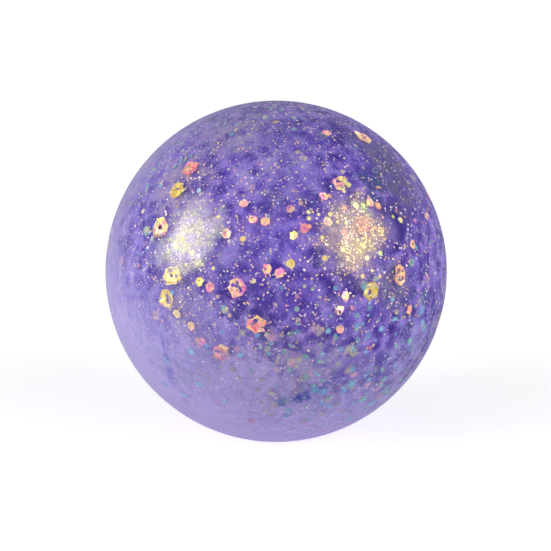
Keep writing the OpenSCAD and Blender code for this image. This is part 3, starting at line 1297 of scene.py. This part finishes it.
@dataclass
class Gel:
    """The gel: dark in the middle, with veils of pearl pigment around it."""

    ball: Ball
    veil_radii: tuple[float, ...] = (32.85 * MM, 31.1 * MM, 29.4 * MM)
    core_radius: float = 27.5 * MM
    hollow_radius: float = 8.3 * MM
    hollow_height: float = 7.2 * MM
    stretches: int = 96
    lathe_steps: int = 160
    stains: tuple[Stain, ...] = (
        Stain(56.0, 43.0, 5.0 * MM, 0.9, (0.02, 0.06, 0.22)),
        Stain(48.0, 36.0, 3.5 * MM, 0.7, (0.03, 0.07, 0.27)),
        # Two grey patches at the upper right stand for a painted dark reflection and painted shade.
        Stain(72.0, 37.0, 9.0 * MM, 0.95, (0.125, 0.115, 0.225)),
        Stain(80.0, 50.0, 8.0 * MM, 0.85, (0.11, 0.11, 0.21)),
        Stain(60.0, -22.0, 9.0 * MM, 0.75, (0.43, 0.39, 0.77)),
        Stain(40.0, -46.0, 9.0 * MM, 0.75, (0.46, 0.42, 0.80)),
        Stain(46.0, 5.0, 7.0 * MM, 0.75, (0.15, 0.16, 0.29)),
        Stain(9.0, -37.0, 3.5 * MM, 0.6, (0.17, 0.25, 0.58)),
        Stain(6.0, -19.0, 2.0 * MM, 0.6, (0.55, 0.30, 0.58)),
        Stain(43.0, -26.0, 6.0 * MM, 0.45, (0.26, 0.34, 0.62)),
        Stain(9.0, 4.0, 6.0 * MM, 0.6, (0.10, 0.045, 0.49)),
        Stain(14.0, 72.0, 6.0 * MM, 0.4, (0.12, 0.16, 0.46)),
        Stain(-50.0, 70.0, 10.0 * MM, 0.8, (0.40, 0.36, 0.53)),
        Stain(-52.0, 42.0, 10.0 * MM, 0.8, (0.43, 0.38, 0.52)),
        Stain(19.5, -18.5, 6.5 * MM, 0.75, (0.42, 0.36, 0.68)),
        Stain(7.0, -28.0, 7.0 * MM, 0.6, (0.44, 0.40, 0.68)),
        Stain(57.0, 28.0, 5.5 * MM, 0.85, (0.04, 0.04, 0.20)),
        Stain(-7.5, 27.0, 7.0 * MM, 0.6, (0.31, 0.23, 0.69)),
        Stain(-34.0, 1.0, 8.0 * MM, 0.55, (0.47, 0.41, 0.63)),
        Stain(-1.0, 55.0, 13.0 * MM, 0.5, (0.44, 0.39, 0.69)),
        Stain(-20.0, 20.0, 5.0 * MM, 0.45, (0.38, 0.31, 0.68)),
        Stain(160.0, 20.0, 6.0 * MM, 0.5, (0.05, 0.08, 0.28)),
        Stain(-105.0, 8.0, 5.0 * MM, 0.5, (0.22, 0.30, 0.58)),
        Stain(-140.0, 40.0, 5.0 * MM, 0.6, (0.06, 0.05, 0.34)),
        Stain(110.0, -15.0, 6.0 * MM, 0.5, (0.24, 0.32, 0.60)),
    )
    milk_stains: tuple[Stain, ...] = (
        Stain(-38.0, -12.0, 12.0 * MM, 0.6, (0.32, 0.345, 0.50), 0.15),
        Stain(-24.0, -24.0, 9.0 * MM, 0.35, (0.38, 0.37, 0.55), 0.15),
        Stain(-10.0, -22.0, 6.0 * MM, 0.45, (0.58, 0.48, 0.80)),
        Streak(-43.2, -12.0, 1.5 * MM, 0.75, (0.17, 0.16, 0.55), end=(-43.6, -19.0)),
        Streak(-44.5, -26.5, 1.5 * MM, 0.8, (0.15, 0.15, 0.56), end=(-47.0, -33.0)),
        Streak(2.0, -36.0, 1.8 * MM, 0.9, (0.06, 0.14, 0.36), end=(10.0, -33.6)),
        Streak(9.0, -33.8, 1.6 * MM, 0.9, (0.05, 0.055, 0.34), end=(25.0, -24.0)),
        Streak(44.0, -39.0, 1.1 * MM, 0.7, (0.09, 0.06, 0.40), end=(60.0, -34.0)),
        Streak(57.0, -27.0, 1.6 * MM, 0.6, (0.10, 0.07, 0.40), end=(64.0, -14.0)),
        Stain(-49.7, 16.7, 3.0 * MM, 0.6, (0.12, 0.14, 0.42)),
        Stain(5.1, -16.3, 2.4 * MM, 0.6, (0.47, 0.28, 0.47)),
        Stain(10.4, -19.0, 2.6 * MM, 0.6, (0.43, 0.37, 0.48)),
        Stain(16.2, -23.6, 2.6 * MM, 0.6, (0.42, 0.37, 0.52)),
        Stain(22.0, -17.0, 3.0 * MM, 0.5, (0.42, 0.36, 0.62)),
        Stain(30.5, -22.0, 4.0 * MM, 0.6, (0.10, 0.05, 0.42)),
    )

    def build(self) -> list[bpy.types.Object]:
        """Turns the veils and the dark middle.

        Returns:
            The pieces, riding on the fill.
        """
        made = []
        centre, (milky, outer, inner) = self.ball.centre, self.veil_radii
        finishes = (
            GlitterMilk(centre=centre, radius=milky, stains=self.milk_stains),
            PearlCloud("outer_cloud", centre, outer, seed=(0.13, 0.0, 0.4), stains=self.stains),
            PearlCloud("inner_cloud", centre, inner, seed=(0.31, 0.17, 0.23)),
        )
        for i, (radius, finish) in enumerate(zip(self.veil_radii, finishes)):
            made.append(self._layer(f"gel_veil_{i}", radius, finish))
        made.append(self._layer("gel_middle", self.core_radius, GelDepths()))
        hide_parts("gel_fill")
        for piece in made:
            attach(piece, Body.FILL.value)
            self.ball.soften(piece)
        return made

    def _layer(self, name: str, radius: float, finish: Finish) -> bpy.types.Object:
        """Turns one closed layer of the gel, open to the plug below.

        Args:
            name: The layer's name.
            radius: Its radius.
            finish: Its finish.

        Returns:
            The layer.
        """
        ball = self.ball
        low = -math.acos(self.hollow_radius / radius)
        outline = arc(radius, ball.centre, low, math.pi / 2, self.stretches)
        mouth = outline[0][1]
        if mouth < self.hollow_height:
            outline += [(0.0, self.hollow_height), (self.hollow_radius, self.hollow_height)]
        else:
            outline += [(0.0, mouth)]
        mesh = Lathe(self.lathe_steps).turn(name, outline, [0] * len(outline))
        mesh.materials.append(finish.material())
        return link(name, mesh)


@dataclass(frozen=True)
class BubbleWall(Finish):
    """The wall of an air bubble, with painted light on its left side and painted shade on its right."""

    name: str = "bubble_wall"
    # Painted light on the bubble's left side, and painted shade on its right.
    pale: Colour = (0.20, 0.14, 0.46)
    deep: Colour = (0.032, 0.014, 0.25)
    mist: Pattern = Pattern(420.0)
    mist_share: float = 0.3
    turning: Ramp = (0.35, 0.75)
    rough: float = 0.3
    shine: float = 0.1
    clearing: Ramp = (0.8, 1.0, 0.9, 0.0)

    def surface(self, graph: Graph) -> Wire:
        """A smooth wall, pale on one side as painted light and deep on the other as painted shade, that
        clears towards its edge.

        Args:
            graph: The material's empty graph.

        Returns:
            The shader's output.
        """
        # Painted light on the left of the bubble turns to painted shade on its right.
        across = graph.marked(SIDE) + graph.noise(self.mist) * self.mist_share
        colour = graph.mix(across.eased(*self.turning), self.pale, self.deep)
        wall = graph.principled(colour, {"Roughness": self.rough, "Specular IOR Level": self.shine})
        cover = graph.marked(REACH).eased(*self.clearing)
        return graph.open_to_lamps(graph.blend(cover, graph.clear(), wall))


@dataclass
class Bubbles:
    """Air bubbles that are trapped under the skin, flattened against it."""

    ball: Ball
    depth_radius: float = 31.95 * MM
    flatness: float = 0.25
    places: tuple[tuple[float, float, float], ...] = (
        (51.5, 25.0, 3.4 * MM),
        (-112.0, 40.0, 2.2 * MM),
        (140.0, 12.0, 2.6 * MM),
        (-150.0, -14.0, 1.8 * MM),
    )
    beads: tuple[tuple[float, float], ...] = (
        (49.8, 32.1),
        (53.4, 32.0),
        (56.6, 31.2),
        (58.1, 28.8),
        (61.3, 29.4),
        (65.5, 27.0),
        (68.8, 27.9),
        (59.4, 24.3),
        (58.2, 22.8),
        (58.9, 20.6),
    )
    bead_radius: float = 0.27 * MM
    bead_depth: float = 32.4 * MM
    bead_detail: int = 2
    bubble_detail: int = 4

    def build(self) -> list[bpy.types.Object]:
        """Makes the bubbles, and the beads that cling to the largest one.

        Returns:
            The two pieces, riding on the fill.
        """
        made = [self._bubbles(), self._beads()]
        for piece in made:
            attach(piece, Body.FILL.value)
            self.ball.soften(piece)
        return made

    def _beads(self) -> bpy.types.Object:
        """Makes small bright grains of film, each a flattened bead.

        Returns:
            The beads as one piece.
        """
        work = bmesh.new()
        for longitude, latitude in self.beads:
            outward = on_sphere(longitude, latitude, 1.0)
            grain = bmesh.ops.create_icosphere(work, subdivisions=self.bead_detail, radius=self.bead_radius)
            for vert in grain["verts"]:
                flat = vert.co - outward * vert.co.dot(outward) * (1.0 - self.flatness)
                vert.co = flat + outward * self.bead_depth + Vector((0, 0, self.ball.centre))
        mesh = mesh_of(work, "bubble_beads")
        mark_flakes(mesh, crinkle=0.0, solid=1.0)
        smooth(mesh)
        mesh.materials.append(DUSTS[Look.BARE, Tint.PEARL].material())
        piece = link("bubble_beads", mesh)
        return piece

    def _bubbles(self) -> bpy.types.Object:
        """Makes the bubbles, each a flattened ball.

        Returns:
            The bubbles as one piece.
        """
        work = bmesh.new()
        side = work.verts.layers.float.new(SIDE)
        reach = work.verts.layers.float.new(REACH)
        for longitude, latitude, radius in self.places:
            round_one = bmesh.ops.create_icosphere(work, subdivisions=self.bubble_detail, radius=radius)
            outward = on_sphere(longitude, latitude, 1.0)
            across = Vector((0, 0, 1)).cross(outward).normalized()
            middle = outward * self.depth_radius + Vector((0, 0, self.ball.centre))
            for vert in round_one["verts"]:
                flat = vert.co - outward * vert.co.dot(outward)
                # Which side of the bubble each point is on, from left to right, for the painted light and
                # shade of its wall.
                vert[side] = HALF + HALF * flat.dot(across) / radius
                vert[reach] = flat.length / radius
                vert.co = middle + flat + outward * vert.co.dot(outward) * self.flatness
        mesh = mesh_of(work, "air_bubbles")
        smooth(mesh)
        mesh.materials.append(BubbleWall().material())
        piece = link("air_bubbles", mesh)
        return piece


@dataclass(frozen=True)
class Cutting:
    """How one size of flake is dressed: its tints, its crinkles, and how whole its film is."""

    tints: tuple[Tint, ...]
    crinkle: float
    solid: float


@dataclass(frozen=True)
class Dust:
    """One batch of dust: film of one tint, cut fine and strewn in clumps through a round shell.

    Attributes:
        name: The batch's name.
        tint: The film's tint.
        count: How many flakes are tried.
        width: A flake's width.
        depth: The shell they lie in.
        side: Longitude and latitude of the place they favour.
        gather: How strongly they favour it.
        bare: The density below which no flake stays.
        lean: How far a flake may lean out of the shell, in degrees.
        look: How they show.
        far_side: How much they favour the place across from there too.
    """

    name: str
    tint: Tint
    count: int
    width: float
    depth: Depth
    side: tuple[float, float] = (0.0, 0.0)
    gather: float = 0.0
    bare: float = 0.46
    lean: float = 16.0
    look: Look = Look.BARE
    far_side: float = 1.0


def sunken(name: str, tint: Tint, count: int, width: float, side: tuple[float, float]) -> Dust:
    """A batch of soft flakes that show through milk, about one place and the place across from it."""
    return Dust(name, tint, count, width, Depth.SKIN, side, gather=3.2, bare=3.25, lean=3.0, look=Look.SUNKEN)


def clustered(
    name: str,
    tint: Tint,
    count: int,
    width: float,
    side: tuple[float, float],
    look: Look,
    gather: float = 9.0,
    bare: float = 9.05,
    lean: float = 3.0,
) -> Dust:
    """A batch that lies about one place only."""
    return Dust(name, tint, count, width, Depth.SKIN, side, gather, bare, lean, look, far_side=0.0)


class Draw(Enum):
    """The random draws that place a flake of dust, each with a seed of its own."""

    RISE = 0
    TURN = 1
    DEPTH = 2
    DENSITY = 3
    TONE = 4
    LEAN_ACROSS = 5
    LEAN_ALONG = 6
    SPIN = 7
    SIZE = 8


DUST_CLUMPING = ("Clumps", "Bare", "Gather", "Far Side")
DUST_INPUTS: dict[str, tuple[str, ...]] = {
    "Int": ("Count", "Seed"),
    "Float": ("Width", "Film", "Inner", "Outer", "Centre", "Lowest", "Lean") + DUST_CLUMPING,
    "Vector": ("Side",),
    "Material": ("Finish",),
}


@dataclass
class DustNodes:
    """Geometry Nodes that strew hexagonal flakes in clumps through a round shell."""

    detail: float = 2.0
    ragged: float = 0.25
    sizes: tuple[float, float] = (0.4, 1.4)
    seeds_apart: float = 10.0
    tree: bpy.types.GeometryNodeTree = field(init=False)
    graph: Graph = field(init=False)
    given: Wire = field(init=False)

    def __post_init__(self) -> None:
        """Builds the tree, from its named inputs to its dressed mesh."""
        self.tree = bpy.data.node_groups.new("strewn_dust", "GeometryNodeTree")
        face = self.tree.interface
        for kind, names in DUST_INPUTS.items():
            for name in names:
                face.new_socket(name, in_out="INPUT", socket_type=f"NodeSocket{kind}")
        face.new_socket("Mesh", in_out="OUTPUT", socket_type="NodeSocketGeometry")
        self.graph = Graph(self.tree)
        self.given = self.graph.add("NodeGroupInput")
        real = self.graph.add("GeometryNodeRealizeInstances", {}, {"Geometry": self._strewn()})
        sockets = {"Geometry": real, "Material": self._size("Finish")}
        dressed = self.graph.add("GeometryNodeSetMaterial", {}, sockets)
        self.graph.add("NodeGroupOutput", {}, {"Mesh": dressed})

    def _size(self, name: str) -> Wire:
        """One of the tree's inputs."""
        return self.graph.also(self.given, name)

    def _chance(self, low: Number, high: Number, draw: Draw) -> Wire:
        """A number between two limits for each flake."""
        sockets = {2: low, 3: high, "Seed": self._size("Seed") * self.seeds_apart + float(draw.value)}
        return self.graph.add("FunctionNodeRandomValue", {"data_type": "FLOAT"}, sockets, 1)

    def _marked(self, geometry: Wire, name: str, value: Wire) -> Wire:
        """Geometry that holds a number at each point."""
        sockets = {"Geometry": geometry, "Name": name, "Value": value}
        return self.graph.add("GeometryNodeStoreNamedAttribute", {"data_type": "FLOAT"}, sockets)

    def _points(self, middle: Wire) -> Wire:
        """Places points all through the shell.

        Args:
            middle: The ball's centre.

        Returns:
            The points.
        """
        graph = self.graph
        rise = self._chance(self._size("Lowest"), 1.0, Draw.RISE)
        turn = self._chance(0.0, 2 * math.pi, Draw.TURN)
        reach = graph.maths("SQRT", 1.0 - rise * rise)
        sockets = {0: reach * graph.maths("COSINE", turn), 1: reach * graph.maths("SINE", turn), 2: rise}
        way = graph.add("ShaderNodeCombineXYZ", {}, sockets)
        depth = self._chance(self._size("Inner"), self._size("Outer"), Draw.DEPTH)
        spots = graph.vector("ADD", graph.scaled(way, depth), middle)
        return graph.add("GeometryNodePoints", {}, {"Count": self._size("Count"), "Position": spots})

    def _clumped(self, points: Wire, spot: Wire, away: Wire) -> Wire:
        """Deletes the points between the clumps and away from the favoured side.

        Args:
            points: All the points.
            spot: The place of each.
            away: The way from the ball's centre to each.

        Returns:
            The points that stay, each with a tone.
        """
        graph = self.graph
        towards = graph.vector("DOT_PRODUCT", away, self._size("Side"))
        favoured = graph.maths("MAXIMUM", towards, towards * self._size("Far Side") * -1.0)
        clumpy = graph.noise(Pattern(self._size("Clumps"), self.detail), spot)
        strayed = self._chance(-self.ragged, self.ragged, Draw.DENSITY)
        dense = clumpy + strayed + favoured * self._size("Gather")
        sockets = {0: dense, 1: self._size("Bare")}
        bare = graph.add("FunctionNodeCompare", {"operation": "LESS_THAN"}, sockets)
        sockets = {"Geometry": points, "Selection": bare}
        kept = graph.add("GeometryNodeDeleteGeometry", {"domain": "POINT"}, sockets)
        return self._marked(kept, TONE, self._chance(0.0, 1.0, Draw.TONE))

    def _turned(self, away: Wire) -> Wire:
        """Lays each flake along the shell, with a lean and a spin of its own.

        Args:
            away: The way from the ball's centre to each flake.

        Returns:
            The flake's rotation.
        """
        graph = self.graph
        lean = self._size("Lean")
        facing = graph.add("FunctionNodeAlignRotationToVector", {"axis": "Z"}, {"Vector": away})
        sockets = {
            0: self._chance(-1.0, 1.0, Draw.LEAN_ACROSS) * lean,
            1: self._chance(-1.0, 1.0, Draw.LEAN_ALONG) * lean,
            2: self._chance(0.0, 2 * math.pi, Draw.SPIN),
        }
        angles = graph.add("ShaderNodeCombineXYZ", {}, sockets)
        leaning = graph.add("FunctionNodeEulerToRotation", {}, {0: angles})
        sockets = {"Rotation": facing, "Rotate By": leaning}
        return graph.add("FunctionNodeRotateRotation", {"rotation_space": "LOCAL"}, sockets)

    def _strewn(self) -> Wire:
        """Puts a flake on every point that stays.

        Returns:
            The flakes as instances.
        """
        graph = self.graph
        middle = graph.add("ShaderNodeCombineXYZ", {}, {2: self._size("Centre")})
        spot = graph.add("GeometryNodeInputPosition")
        away = graph.vector("NORMALIZE", graph.vector("SUBTRACT", spot, middle))
        half = self._size("Width") * HALF
        sockets = {"Vertices": HEXAGON, "Radius": half, "Depth": self._size("Film")}
        plain = graph.add("GeometryNodeMeshCylinder", {"fill_type": "TRIANGLE_FAN"}, sockets)
        reach = graph.maths("DIVIDE", graph.vector("LENGTH", spot), half)
        sockets = {
            "Points": self._clumped(self._points(middle), spot, away),
            "Instance": self._marked(plain, REACH, reach),
            "Rotation": self._turned(away),
            "Scale": self._chance(*self.sizes, Draw.SIZE),
        }
        return graph.add("GeometryNodeInstanceOnPoints", {}, sockets)


@dataclass
class Glitter:
    """The cut film in the gel: the flakes of the frame, and the dust between them."""

    ball: Ball
    cuttings: dict[Cut, Cutting] = field(
        default_factory=lambda: {
            Cut.LARGE: Cutting((Tint.GOLD, Tint.CORAL, Tint.TEAL), 0.7 * MM, 0.0),
            Cut.MEDIUM: Cutting((Tint.GOLD, Tint.CORAL, Tint.TEAL, Tint.GREEN), 0.3 * MM, 0.3),
            Cut.SMALL: Cutting((Tint.GOLD, Tint.CORAL, Tint.TEAL, Tint.PEARL), 0.0, 0.8),
        }
    )
    batches: tuple[Dust, ...] = (
        Dust("fine_gold", Tint.GOLD, 3400, 0.34 * MM, Depth.LOOSE, (-5.0, 25.0), 0.1),
        Dust("fine_coral", Tint.CORAL, 2200, 0.34 * MM, Depth.LOOSE, (0.0, 20.0), 0.1),
        Dust("fine_teal", Tint.TEAL, 1300, 0.36 * MM, Depth.LOOSE, (40.0, -20.0), 0.2),
        Dust("fine_pearl", Tint.PEARL, 2300, 0.30 * MM, Depth.LOOSE, (35.0, 50.0), 0.1),
        Dust("deep_teal", Tint.TEAL, 1200, 0.90 * MM, Depth.OUTER, (52.0, -42.0), 0.9, 1.05),
        Dust("deep_green", Tint.GREEN, 700, 0.90 * MM, Depth.OUTER, (45.0, -38.0), 0.9, 1.1),
        Dust("deep_gold", Tint.GOLD, 260, 0.75 * MM, Depth.INNER, (40.0, 0.0), 0.2),
        Dust("upper_pearl", Tint.PEARL, 3600, 0.22 * MM, Depth.SKIN, lean=10.0),
        Dust("milky_pearl", Tint.PEARL, 1700, 0.33 * MM, Depth.SKIN, (-45.0, -25.0), 0.4, 0.6, 8.0),
        sunken("milky_teal", Tint.TEAL, 540, 2.3 * MM, (32.0, -30.0)),
        sunken("milky_green", Tint.GREEN, 400, 2.0 * MM, (36.0, -24.0)),
        sunken("milky_gold", Tint.GOLD, 240, 2.1 * MM, (22.0, -24.0)),
        sunken("milky_coral", Tint.CORAL, 180, 2.0 * MM, (18.0, -26.0)),
        sunken("pale_teal", Tint.TEAL, 200, 1.9 * MM, (-36.0, -30.0)),
        clustered("glow_gold", Tint.GOLD, 900, 1.3 * MM, (33.0, 24.0), Look.GLOWING),
        clustered("glow_coral", Tint.CORAL, 420, 1.5 * MM, (35.0, 26.0), Look.GLOWING),
        clustered("glow_green", Tint.GREEN, 700, 1.2 * MM, (40.0, 31.0), Look.GLOWING, 14.0, 14.05),
        clustered("left_gold", Tint.GOLD, 520, 1.2 * MM, (-36.0, 24.0), Look.GLOWING, bare=9.1),
        clustered("left_teal", Tint.TEAL, 3000, 0.5 * MM, (-56.0, 10.0), Look.SUNKEN, bare=9.0, lean=5.0),
        clustered("pastel_gold", Tint.GOLD, 1300, 1.6 * MM, (1.0, -20.0), Look.SUNKEN),
        clustered("pastel_green", Tint.GREEN, 800, 1.3 * MM, (12.0, -24.0), Look.SUNKEN),
        clustered("pastel_teal", Tint.TEAL, 900, 1.4 * MM, (26.0, -26.0), Look.SUNKEN),
        Dust("upper_gold", Tint.GOLD, 2600, 0.32 * MM, Depth.LOOSE, (-22.0, 40.0), 0.9, 1.1, far_side=0.0),
    )
    dust_film: float = 0.04 * MM
    clumps: float = 130.0
    lowest: float = -0.9

    def build(self) -> list[bpy.types.Object]:
        """Dresses the flakes and strews the dust.

        Returns:
            The pieces, riding on the fill.
        """
        made = []
        for cut, cutting in self.cuttings.items():
            for tint in cutting.tints:
                node = f"{cut.value}_{tint.value}_flakes"
                mesh = merged_copy(node)
                mark_flakes(mesh, cutting.crinkle, cutting.solid)
                mesh.materials.append(FILMS[tint].material())
                made.append(self._fasten(f"{cut.value}_{tint.value}_film", mesh, node))
        tree = DustNodes().tree
        for seed, dust in enumerate(self.batches):
            node = f"{dust.name}_flakes"
            stands_for = node if node in frame["nodes"] else None
            mesh = self._strew(tree, dust, seed)
            made.append(self._fasten(f"{dust.name}_dust", mesh, stands_for))
        return made

    def _fasten(self, name: str, mesh: bpy.types.Mesh, node: str | None) -> bpy.types.Object:
        """Makes a piece of a dressed mesh, and rides it on the fill.

        Args:
            name: The piece's name.
            mesh: Its mesh.
            node: The node that it stands for, if any.

        Returns:
            The piece.
        """
        piece = link(name, mesh)
        if node:
            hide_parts(node)
        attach(piece, Body.FILL.value)
        self.ball.soften(piece)
        return piece

    def _strew(self, tree: bpy.types.GeometryNodeTree, dust: Dust, seed: int) -> bpy.types.Mesh:
        """Runs the tree for one batch.

        Args:
            tree: The tree that strews dust.
            dust: The batch.
            seed: Seed of its places.

        Returns:
            A plain mesh of all the flakes.
        """
        carrier = link("dust_carrier", bpy.data.meshes.new("dust_carrier"))
        modifier = carrier.modifiers.new("strew", "NODES")
        modifier.node_group = tree
        values = {
            "Count": dust.count,
            "Width": dust.width,
            "Film": self.dust_film,
            "Inner": dust.depth.value[0],
            "Outer": dust.depth.value[1],
            "Centre": self.ball.centre,
            "Lowest": self.lowest,
            "Lean": math.radians(dust.lean),
            "Clumps": self.clumps,
            "Bare": dust.bare,
            "Side": tuple(on_sphere(*dust.side, 1.0)),
            "Gather": dust.gather,
            "Far Side": dust.far_side,
            "Seed": seed,
            "Finish": DUSTS[dust.look, dust.tint].material(),
        }
        for item in tree.interface.items_tree:
            if item.in_out == "INPUT":
                modifier[item.identifier] = values[item.name]
        held = bpy.context.evaluated_depsgraph_get()
        mesh = bpy.data.meshes.new_from_object(carrier.evaluated_get(held))
        bpy.data.objects.remove(carrier)
        if mesh.materials[0] is None:
            mesh.materials.pop(index=0)
        return mesh


@dataclass(frozen=True)
class Softbox:
    """A lamp, by its direction to the right of the front and its rise in degrees, and its power in watts."""

    name: str
    azimuth: float
    rise: float
    power: float


@dataclass
class Studio:
    """The table, the lamps and the camera."""

    ball: Ball
    rise: float = math.radians(15.0)
    distance: float = 0.7
    frame_px: float = 551.0
    ball_px: float = 170.8
    offset_px: tuple[float, float] = (0.63, 4.25)
    clip_end: float = 20.0
    clear_layers: int = 32
    table_size: float = 6.0
    sky: tuple[tuple[float, Colour], ...] = (
        (0.0, (0.95, 0.95, 0.95)),
        (0.55, (0.9, 0.9, 0.9)),
        (0.8, (0.4, 0.4, 0.42)),
        (1.0, (0.3, 0.3, 0.32)),
    )
    sky_strength: float = 0.62
    lamps: tuple[Softbox, ...] = (
        Softbox("left_softbox", -65.0, 26.0, 1.5),
        Softbox("right_softbox", 60.0, 27.0, 1.4),
    )
    lamp_size: tuple[float, float] = (0.30, 0.38)
    lamp_distance: float = 0.5

    def build(self) -> None:
        """Sets the studio up."""
        bpy.context.scene.cycles.transparent_max_bounces = self.clear_layers
        self._table()
        self._sky()
        for softbox in self.lamps:
            self._lamp(softbox)
        self._camera()

    def _table(self) -> None:
        """A pale table to stand on."""
        half = self.table_size / 2
        mesh = bpy.data.meshes.new("table")
        corners = [(-half, -half, 0.0), (half, -half, 0.0), (half, half, 0.0), (-half, half, 0.0)]
        mesh.from_pydata(corners, [], [(0, 1, 2, 3)])
        mesh.materials.append(PaleFloor().material())
        link("table", mesh)

    def _sky(self) -> None:
        """Soft light from all round, white at the horizon and dimmer overhead."""
        world = bpy.data.worlds.new("studio")
        bpy.context.scene.world = world
        world.use_nodes = True
        graph = Graph(world.node_tree)
        up = graph.axes(graph.add("ShaderNodeTexCoord", output="Generated"))[2]
        colour = graph.add("ShaderNodeValToRGB", {"stops": self.sky}, {0: up * HALF + HALF})
        light = graph.add("ShaderNodeBackground", {}, {"Color": colour, "Strength": self.sky_strength})
        white = graph.add("ShaderNodeBackground", {}, {"Color": WHITE, "Strength": 1.0})
        surface = graph.blend(graph.looked_at(), light, white)
        graph.add("ShaderNodeOutputWorld", {}, {"Surface": surface})

    def _lamp(self, softbox: Softbox) -> None:
        """Hangs a softbox that looks at the ball.

        Args:
            softbox: Where it hangs, and how bright it is.
        """
        data = bpy.data.lights.new(softbox.name, "AREA")
        data.shape = "RECTANGLE"
        data.size, data.size_y = self.lamp_size
        data.energy = softbox.power
        lamp = bpy.data.objects.new(softbox.name, data)
        bpy.context.scene.collection.objects.link(lamp)
        away = on_sphere(softbox.azimuth, softbox.rise, 1.0)
        lamp.location = Vector((0, 0, self.ball.centre)) + away * self.lamp_distance
        lamp.rotation_euler = away.to_track_quat("Z", "Y").to_euler()

    def _camera(self) -> None:
        """A long lens at the photograph's angle, with the ball in the photograph's place."""
        data = bpy.data.cameras.new("camera")
        camera = bpy.data.objects.new("camera", data)
        bpy.context.scene.collection.objects.link(camera)
        bpy.context.scene.camera = camera
        away = Vector((0.0, -math.cos(self.rise), math.sin(self.rise)))
        edge = math.tan(math.asin(self.ball.radius / self.distance))
        half = edge * (self.frame_px / 2) / self.ball_px
        data.lens = data.sensor_width / 2 / half
        pixel = 2 * half * self.distance / self.frame_px
        up = Vector((0.0, math.sin(self.rise), math.cos(self.rise)))
        aim = Vector((0, 0, self.ball.centre))
        aim -= up * self.offset_px[1] * pixel + Vector((1, 0, 0)) * self.offset_px[0] * pixel
        camera.location = aim + away * self.distance
        camera.rotation_euler = away.to_track_quat("Z", "Y").to_euler()
        data.clip_end = self.clip_end


def keep_sizes() -> None:
    """Brings the scene's view layer up to date."""
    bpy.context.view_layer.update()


def main() -> None:
    """Builds the ball and its studio in order."""
    logging.basicConfig(level=logging.INFO, format="%(message)s")
    bpy.context.scene.view_settings.view_transform = "Standard"
    ball = Ball()
    pieces = [Skin(ball).build()]
    pieces += FillingPort(ball).build()
    pieces += Gel(ball).build()
    pieces += Glitter(ball).build()
    pieces += Bubbles(ball).build()
    for piece in pieces:
        LOG.info("%s: %d faces", piece.name, len(piece.data.polygons))
    Studio(ball).build()
    keep_sizes()


if __name__ == "__main__":
    main()
